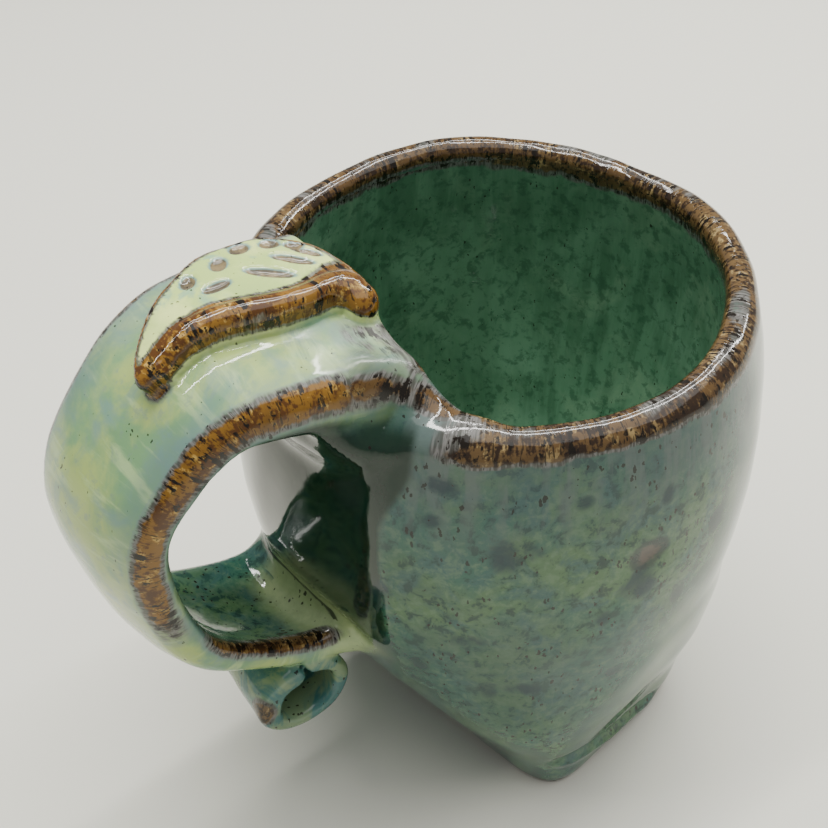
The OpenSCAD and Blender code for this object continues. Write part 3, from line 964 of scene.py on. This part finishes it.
    # Grey-lilac skirt where the glaze starts to thin, then amber and brown
    rough_edge = n.math("ADD", n.math("MULTIPLY", n.math("SUBTRACT", dash, 0.5), 0.45),
                        n.math("MULTIPLY", n.math("SUBTRACT", patch, 0.5), 0.9))
    present = n.ramp(edge, 0.0, 0.12)
    ragged = n.math("ADD", edge, n.math("MULTIPLY", rough_edge, present))
    skirt_colour = n.mix(n.ramp(hair, 0.40, 0.60), rgb(0.060, 0.056, 0.048),
                         rgb(0.170, 0.160, 0.150))
    colour = n.mix(n.ramp(ragged, 0.03, 0.28, 0, 0.92), colour, skirt_colour)
    gold = n.mix(pale, rgb(0.115, 0.070, 0.028), rgb(0.215, 0.105, 0.014))
    fleck = n.mix(pale, rgb(0.330, 0.235, 0.100), rgb(0.500, 0.310, 0.070))
    gold = n.mix(n.ramp(fine, 0.52, 0.62), gold, fleck)
    gold = n.tint(gold, wide, 0.54, 0.40, 0.55, rgb(0.070, 0.036, 0.012))
    grit = n.noise(place, 900, 3, 0.6)
    smoky = n.math("ADD", n.math("MULTIPLY", hair, 0.25), n.math("MULTIPLY", grit, 0.40))
    smoky = n.math("ADD", smoky, n.math("MULTIPLY", patch, 0.35))
    amber = n.mix(n.ramp(smoky, 0.455, 0.53), n.mix(pale, rgb(0.026, 0.015, 0.008),
                                                   rgb(0.085, 0.034, 0.008)), gold)
    colour = n.mix(n.ramp(ragged, 0.36, 0.54), colour, amber)
    colour = n.tint(colour, press, 0.02, 0.35, 0.85, rgb(0.140, 0.270, 0.290))
    hollow = n.mix(n.ramp(fine, 0.42, 0.58), rgb(0.085, 0.070, 0.045), rgb(0.21, 0.16, 0.08))
    colour = n.mix(n.ramp(press, 0.28, 0.60), colour, hollow)

    # Dark iron: dashes along the broken edges, and a few flecks all over
    clot = n.math("ADD", n.math("MULTIPLY", dash, 0.5), n.math("MULTIPLY", fine, 0.5))
    strokes = n.math("MULTIPLY", n.ramp(clot, 0.535, 0.575), n.ramp(edge, 0.08, 0.30))
    short = n.math("MULTIPLY", n.ramp(hair, 0.61, 0.66), n.ramp(edge, 0.05, 0.25))
    squeezed = n.add("Mapping", {"Vector": place, "Scale": (1.0, 1.0, 0.5)}).outputs[0]
    wander = n.add("TexNoise", {"Vector": place, "Scale": 1500.0, "Detail": 1.0}).outputs[1]
    shaken = n.add("VectorMath", {0: squeezed, 1: n.add(
        "VectorMath", {0: wander, 1: (0.0007, 0.0007, 0.0007)}, operation="MULTIPLY").outputs[0]},
        operation="ADD").outputs[0]
    speck = n.add("TexVoronoi", {"Vector": shaken, "Scale": 760, "Randomness": 1.0},
                  feature="F1").outputs["Distance"]
    size = n.ramp(n.noise(place, 150, 2), 0.36, 0.70, 0.04, 0.28)
    quiet = n.math("MULTIPLY", n.math("MAXIMUM", pale, inner), -0.42)
    size = n.math("MULTIPLY", size, n.math("ADD", quiet, 1.0))
    few = n.math("MULTIPLY", n.math("LESS_THAN", speck, size), 0.85)
    dark = n.math("MAXIMUM", few, n.math("MAXIMUM", strokes, n.math("MULTIPLY", short, 0.8)))
    colour = n.mix(dark, colour, rgb(0.010, 0.007, 0.004))

    swell = n.noise(place, 42, 3, 0.5)
    height = n.math("ADD", swell, n.math("MULTIPLY", fine, 0.10))
    height = n.math("SUBTRACT", height, n.math("MULTIPLY", dark, 0.06))
    bump = n.add("Bump", {"Strength": 0.16, "Distance": 0.0010, "Height": height})
    matt = n.math("ADD", n.math("MULTIPLY", n.attribute("dull"), 0.42),
                  n.ramp(fine, 0.3, 0.8, 0.035, 0.09))
    return n.finish({"Base Color": colour, "Roughness": matt, "IOR": 1.45,
                     "Normal": bump.outputs[0]})


def bare_clay():
    n = Nodes("bare_clay")
    place = n.add("TexCoord").outputs["Object"]
    grit = n.noise(place, 900, 4, 0.7)
    cloud = n.noise(place, 120, 3)
    colour = n.mix(n.ramp(cloud, 0.35, 0.65), rgb(0.060, 0.040, 0.030), rgb(0.110, 0.075, 0.055))
    colour = n.tint(colour, grit, 0.55, 0.75, 0.6, rgb(0.20, 0.15, 0.11))
    bump = n.add("Bump", {"Strength": 0.5, "Distance": 0.0005, "Height": grit})
    return n.finish({"Base Color": colour, "Roughness": 0.8, "Normal": bump.outputs[0]})


SLOTS = {
    "cup_wall": "body_glaze", "floor_slab": "floor_glaze", "foot": "bare_clay",
    "handle_strap": "handle_glaze", "leaf_rest": "leaf_glaze", "tail_curl": "curl_glaze",
    "upper_join": "join_glaze", "lower_join": "join_glaze",
}
MATERIALS = {}
for slot_name in sorted(set(SLOTS.values())):
    MATERIALS[slot_name] = bare_clay() if slot_name == "bare_clay" else glaze(slot_name)


# ---------------------------------------------------------------- making the pieces

def put_in_scene(name, data):
    thing = bpy.data.objects.new(name, data)
    bpy.context.scene.collection.objects.link(thing)
    return thing


def border_loops(t):
    """The open edges of a patch of triangles, chained into closed loops."""
    seen = {}
    for a, b, c in t.tolist():
        for q in ((a, b), (b, c), (c, a)):
            seen[q] = seen.get(q, 0) + 1
    follow = {}
    for a, b in seen:
        if (b, a) not in seen:
            follow.setdefault(b, []).append(a)
    loops = []
    while follow:
        start = next(iter(follow))
        loop = [start]
        at = start
        while True:
            nxt = follow[at].pop()
            if not follow[at]:
                del follow[at]
            if nxt == start:
                break
            loop.append(nxt)
            at = nxt
            if at not in follow:
                break
        loops.append(loop)
    return loops


RING_FLAT = 3  # how level, how near the floor's height and how long a ring's border is
RING_NEAR = 2.5
RING_LEAST = 20


def make_piece(name, index):
    """Makes one piece: its share of the surface, closed by flat caps along the cuts."""
    t = faces[face_label == index]
    used, flat = np.unique(t, return_inverse=True)
    t = flat.reshape(-1, 3)
    p = verts[used]
    own = normals[used]
    count = len(p)
    caps, extra = [], []
    loops = border_loops(t)
    if name == "cup_wall":
        loops.sort(key=len, reverse=True)
    ring = None
    if name in ("cup_wall", "floor_slab"):
        low = sorted(loops, key=lambda q: p[q][:, 2].mean())
        flat_loops = [q for q in low if np.ptp(p[q][:, 2]) < RING_FLAT
                      and abs(p[q][:, 2].mean() - FLOOR_Z) < RING_NEAR
                      and len(q) > RING_LEAST]
        if len(flat_loops) == 2:
            ring = flat_loops
            loops = [q for q in loops if q not in ring]
    for loop in loops:
        centre = count + len(extra)
        extra.append(p[loop].mean(0))
        for a, b in zip(loop, loop[1:] + loop[:1]):
            caps.append((a, b, centre))
    if ring:
        caps += bridge(p, ring[0], ring[1])
    all_p = np.concatenate([p, np.array(extra).reshape(-1, 3)])
    all_t = np.concatenate([t, np.array(caps, int).reshape(-1, 3)])
    mesh = bpy.data.meshes.new(name + "_clay")
    mesh.from_pydata((all_p * MM).tolist(), [], all_t.tolist())
    mesh.polygons.foreach_set("use_smooth", [True] * len(mesh.polygons))
    for key, values in ATTRIBUTES.items():
        data = mesh.attributes.new(key, "FLOAT", "POINT")
        data.data.foreach_set("value", np.append(values[used], np.zeros(len(extra)))
                              .astype(np.float32))
    mesh.update()
    corner = np.zeros((len(all_t) * 3, 3))
    corner[:len(t) * 3] = own[t.ravel()]
    cap_t = all_t[len(t):]
    if len(cap_t):
        one, two, three = (all_p[cap_t[:, i]] for i in range(3))
        q = np.cross(two - one, three - one)
        q /= np.maximum(np.linalg.norm(q, axis=1), 1e-9)[:, None]
        corner[len(t) * 3:] = np.repeat(q, 3, 0)
    mesh.normals_split_custom_set(corner.tolist())
    mesh.materials.append(MATERIALS[SLOTS[name]])
    piece = put_in_scene(name + "_clay", mesh)
    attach(piece, "root")
    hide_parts(name)


def bridge(p, one, two):
    """Triangles of the flat ring between two loops, matched by direction."""
    centre = p[one].mean(0)

    def by_angle(loop):
        a = np.arctan2(p[loop][:, 1] - centre[1], p[loop][:, 0] - centre[0])
        forward = np.sum(np.diff(np.unwrap(a))) > 0
        k = int(np.argmin(a))
        turned = loop[k:] + loop[:k]
        return turned, forward

    a, a_forward = by_angle(one)
    b, b_forward = by_angle(two)
    if a_forward == b_forward:
        return []
    if not a_forward:
        a, b = b, a
    b = b[::-1]
    k = int(np.argmin([np.arctan2(p[i][1] - centre[1], p[i][0] - centre[0]) for i in b]))
    b = b[k:] + b[:k]
    out = []
    i = j = 0
    while i < len(a) or j < len(b):
        if j >= len(b) or (i < len(a) and i * len(b) <= j * len(a)):
            out.append((a[i % len(a)], a[(i + 1) % len(a)], b[j % len(b)]))
            i += 1
        else:
            out.append((b[(j + 1) % len(b)], b[j % len(b)], a[i % len(a)]))
            j += 1
    return out


for number, piece_name in enumerate(PIECES):
    if (face_label == number).any():
        make_piece(piece_name, number)

# ---------------------------------------------------------------- floor, light and camera


def table_top():
    n = Nodes("paper")
    place = n.add("TexCoord").outputs["Object"]
    soft = n.noise(place, 1.2, 2)
    colour = n.mix(soft, rgb(0.70, 0.690, 0.600), rgb(0.73, 0.720, 0.630))
    paper = n.finish({"Base Color": colour, "Roughness": 0.75})
    mesh = bpy.data.meshes.new("floor")
    half = 3.0
    mesh.from_pydata([(-half, -half, 0), (half, -half, 0), (half, half, 0), (-half, half, 0)],
                     [], [(0, 1, 2, 3)])
    mesh.materials.append(paper)
    floor = put_in_scene("floor", mesh)


def area_light(name, at, to, size, power, colour=(1, 1, 1), size_y=None):
    data = bpy.data.lights.new(name, "AREA")
    data.energy = power
    data.color = colour
    data.shape = "RECTANGLE" if size_y else "SQUARE"
    data.size = size
    if size_y:
        data.size_y = size_y
    lamp = put_in_scene(name, data)
    lamp.location = at
    lamp.rotation_euler = (Vector(to) - Vector(at)).to_track_quat("-Z", "Y").to_euler()
    return lamp


def tube_light(name, at, to, along, length, width, power):
    """A long thin lamp that faces a point, with its long side along a given direction."""
    lamp = area_light(name, at, to, length, power, (1.0, 0.99, 0.96), width)
    z_axis = (Vector(at) - Vector(to)).normalized()
    x_axis = (along - along.dot(z_axis) * z_axis).normalized()
    y_axis = z_axis.cross(x_axis)
    turn = Matrix((x_axis, y_axis, z_axis)).transposed()
    lamp.rotation_euler = turn.to_euler()


table_top()
world = bpy.data.worlds.new("soft_box")
world.use_nodes = True
world.node_tree.nodes["Background"].inputs[0].default_value = (0.93, 0.95, 1.0, 1)
world.node_tree.nodes["Background"].inputs[1].default_value = 0.36
bpy.context.scene.world = world

# The camera that was fitted to the photograph, as a place, a heading and a dip
CAMERA = Vector((-115.9, -141.7, 230.3)) * MM
FORWARD_TURN = math.radians(55.57)
PITCH = math.radians(42.18)
HALF_VIEW = math.radians(18.0)
camera_data = bpy.data.cameras.new("camera")
camera_data.lens = 18 / math.tan(HALF_VIEW)
camera_data.sensor_width = 36
camera_data.clip_start = 0.01
camera = put_in_scene("camera", camera_data)
camera.location = CAMERA
forward = Vector((math.cos(FORWARD_TURN) * math.cos(PITCH),
                  math.sin(FORWARD_TURN) * math.cos(PITCH), -math.sin(PITCH)))
camera.rotation_euler = forward.to_track_quat("-Z", "Y").to_euler()
bpy.context.scene.camera = camera

right = Vector((math.sin(FORWARD_TURN), -math.cos(FORWARD_TURN), 0))
ahead = Vector((math.cos(FORWARD_TURN), math.sin(FORWARD_TURN), 0))
up = Vector((0, 0, 1))
aim = Vector((0, 0, 0.06))
above = aim + ahead * 0.10 + right * 0.25 + up * 1.1
area_light("ceiling", above, aim, 1.5, 14, (1.0, 1.0, 0.98))
# Two thin tubes give the narrow highlights: place past the aim, length, width and watts
TUBES = (("tube_one", (0.15, 0.11, 0.62), 1.6, 0.035, 9.0),
         ("tube_two", (0.12, 0.34, 0.55), 0.7, 0.03, 2.5))
for lamp_name, offset, length, width, watts in TUBES:
    tube_light(lamp_name, aim + Vector(offset), aim, Vector((1, 0, 0)), length, width, watts)
